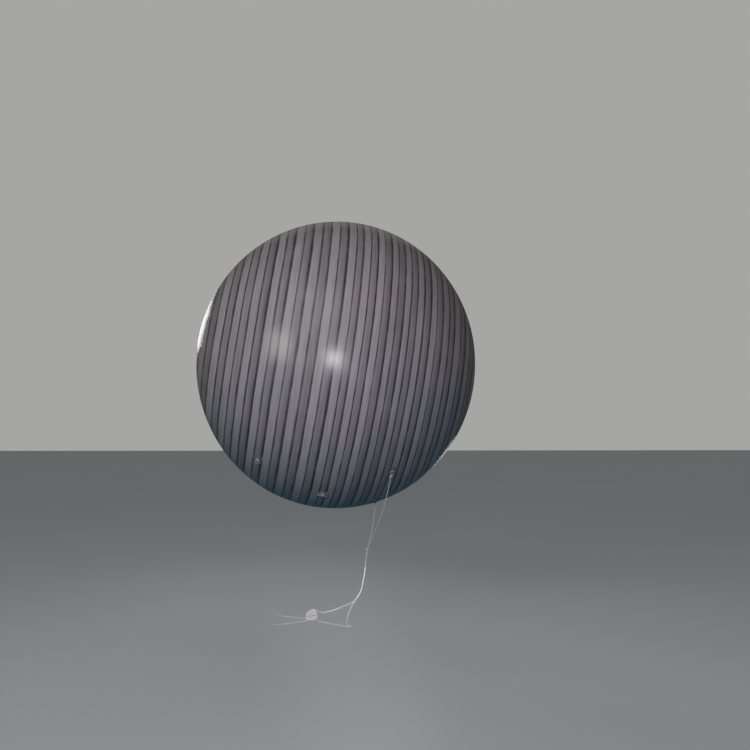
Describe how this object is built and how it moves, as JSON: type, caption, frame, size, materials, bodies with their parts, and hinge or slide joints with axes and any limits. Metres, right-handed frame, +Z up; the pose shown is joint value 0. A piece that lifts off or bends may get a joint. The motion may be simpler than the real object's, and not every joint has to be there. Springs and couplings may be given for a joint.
{
  "type": "inflatable advertising sphere balloon",
  "caption": "Round glossy striped film balloon on white tether cords, with a capped filling valve at its lower pole and D-rings on patches round it.",
  "frame": {"origin": "the centre of the balloon, where its gas holds it up in the air", "axes": "+Z up, +X to the right and +Y away from the viewer; the valve's pole leans 30 degrees from straight down, mostly towards -Y, and the axis that the stripes run round lies near +X"},
  "size_m": [2.0002, 2.0194, 2.8418],
  "materials": {
    "film": "glossy printed PVC film, weathered grey stripes of uneven width with dark lines between them",
    "clear_film": "milky clear PVC film, welded",
    "webbing": "pale woven polyester tape",
    "valve_moulding": "soft milky moulded PVC, satin",
    "ring_steel": "stamped stainless steel, lightly brushed",
    "cord": "white braided nylon, matt"
  },
  "bodies": {
    "envelope": {"gore_01": "film", "gore_02": "film", "gore_03": "film", "gore_04": "film", "gore_05": "film", "gore_06": "film", "gore_07": "film", "gore_08": "film", "gore_09": "film", "gore_10": "film", "gore_11": "film", "gore_12": "film", "crown_disc": "film", "base_disc": "film", "valve_body": "valve_moulding", "patch_left_front": "clear_film", "patch_left_back": "clear_film", "patch_right_front": "clear_film", "patch_right_back": "clear_film", "strap_left_front": "webbing", "strap_left_back": "webbing", "strap_right_front": "webbing", "strap_right_back": "webbing", "d_ring_right_front": "ring_steel", "d_ring_right_back": "ring_steel", "hitch_right_front": "cord", "hitch_right_back": "cord", "cord_right_front": "cord", "cord_right_back": "cord", "upper_knot": "cord", "cord_pair": "cord", "lower_knot": "cord", "cord_floor_run": "cord", "cord_slack_run": "cord", "hank": "cord", "cord_long_tail": "cord", "cord_short_tail": "cord"},
    "valve_cap": {"valve_cap": "valve_moulding"},
    "ring_left_front": {"d_ring_left_front": "ring_steel"},
    "ring_left_back": {"d_ring_left_back": "ring_steel"}
  },
  "joints": [
    {"name": "cap_hinge", "type": "hinge", "parent": "envelope", "child": "valve_cap", "pos_m": [-0.12067, -0.51948, -0.90729], "axis": [-0.1374, 0.8674, -0.4783], "range_deg": [0, 150]},
    {"name": "ring_left_front_swing", "type": "hinge", "parent": "envelope", "child": "ring_left_front", "pos_m": [-0.51093, -0.6045, -0.67687], "axis": [-0.7472, 0.6645, 0], "range_deg": [-24, 126]},
    {"name": "ring_left_back_swing", "type": "hinge", "parent": "envelope", "child": "ring_left_back", "pos_m": [-0.47952, -0.22065, -0.89778], "axis": [-0.3613, 0.9324, 0], "range_deg": [-43, 106]}
  ]
}
